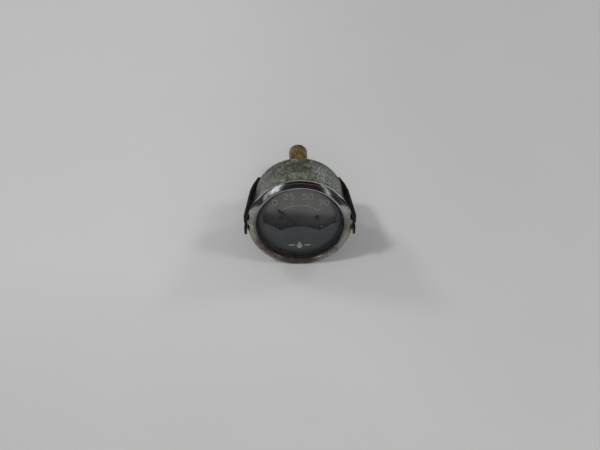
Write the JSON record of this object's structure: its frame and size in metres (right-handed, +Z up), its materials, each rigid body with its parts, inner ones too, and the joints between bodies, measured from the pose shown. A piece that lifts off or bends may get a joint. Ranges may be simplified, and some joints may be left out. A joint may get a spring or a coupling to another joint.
{
  "type": "oil pressure gauge",
  "caption": "Round panel-mounted oil pressure gauge with chromed bezel, glass, dial and swinging pointer, threaded rear stem, clamp strap and clamp nut.",
  "frame": {"origin": "on the gauge's axis, in the plane of the bezel's rear face, which seats on the panel", "axes": "+Y along the gauge's axis, rearwards through the panel; +Z up the dial; +X to the right as the dial is read"},
  "size_m": [0.064, 0.0784, 0.06],
  "materials": {
    "chrome_bezel": "polished, a little rusty at its edges",
    "clear_glass": "clear and flat",
    "black_rubber": "matt",
    "black_paint": "matt black",
    "dial_paint": "satin charcoal",
    "mask_paint": "satin blue-grey charcoal",
    "dial_print": "matt pale grey print",
    "pointer_red": "faded dark red",
    "steel": "plain steel",
    "spring_steel": "blued",
    "brass": "plain brass",
    "old_brass": "brown, tarnished and patchy",
    "zinc_case": "dull galvanised, mottled grey-green",
    "fibre": "red-brown vulcanised fibre",
    "black_steel": "blackened spring steel with a little rust"
  },
  "bodies": {
    "root": {"bezel": "chrome_bezel", "glass": "clear_glass", "glass_gasket": "black_rubber", "shade_ring": "black_paint", "dial_mask": "mask_paint", "mask_symbol": "dial_print", "dial_spacer": "black_paint", "dial_plate": "dial_paint", "dial_scale": "dial_print", "dial_figures": "dial_print", "dial_screws": "steel", "stop_pegs": "black_paint", "hairspring": "spring_steel", "hairspring_stud": "brass", "front_plate": "brass", "rear_plate": "brass", "movement_pillars": "brass", "pillar_screws": "steel", "block_screws": "steel", "bourdon_tube": "brass", "socket_block": "brass", "block_gasket": "fibre", "case": "zinc_case", "case_washer": "steel", "case_nut": "brass", "stem": "old_brass"},
    "pointer_arbor": {"pointer": "pointer_red", "pointer_arbor": "steel", "drive_pinion": "brass", "hairspring_collet": "brass"},
    "sector": {"sector_gear": "brass", "sector_arbor": "steel", "sector_pin": "steel"},
    "tube_tip": {"tip_block": "brass", "tip_pin": "steel"},
    "link": {"link": "brass"},
    "clamp": {"clamp_strap": "black_steel", "spring_washer": "black_steel"},
    "clamp_nut": {"clamp_nut": "steel"}
  },
  "joints": [
    {"name": "pointer_swing", "type": "hinge", "parent": "root", "child": "pointer_arbor", "pos_m": [0, 0.005, -0.009], "axis": [0, 1, 0], "range_deg": [0, 76.5], "stiffness_Nm_per_rad": 0.0008, "springref_deg": -8.59, "deforming": ["hairspring"]},
    {"name": "sector_swing", "type": "hinge", "parent": "root", "child": "sector", "pos_m": [0.00761, 0.008, 0.00731], "axis": [0, 1, 0], "range_deg": [-15.5, 0.1]},
    {"name": "tube_tip_swing", "type": "hinge", "parent": "root", "child": "tube_tip", "pos_m": [-0.00433, 0.01, 0.00481], "axis": [0, 1, 0], "range_deg": [-5.6, 0.1], "deforming": ["bourdon_tube"]},
    {"name": "link_swing", "type": "hinge", "parent": "tube_tip", "child": "link", "pos_m": [0.01136, 0.01, -0.00136], "axis": [0, 1, 0], "range_deg": [-0.1, 3.6]},
    {"name": "clamp_travel", "type": "slide", "parent": "root", "child": "clamp", "axis": [0, 1, 0], "range_m": [0, 0.0075]},
    {"name": "clamp_nut_spin", "type": "hinge", "parent": "clamp", "child": "clamp_nut", "pos_m": [0, 0.04, 0], "axis": [0, 1, 0], "range_deg": [0, 2160]}
  ],
  "couplings": [
    {"joint": "sector_swing", "follows": "pointer_swing", "ratio": -0.2},
    {"joint": "tube_tip_swing", "follows": "pointer_swing", "ratio": -0.070949},
    {"joint": "link_swing", "follows": "pointer_swing", "ratio": 0.044634},
    {"joint": "clamp_nut_spin", "follows": "clamp_travel", "rad_per_m": 5026.5}
  ]
}
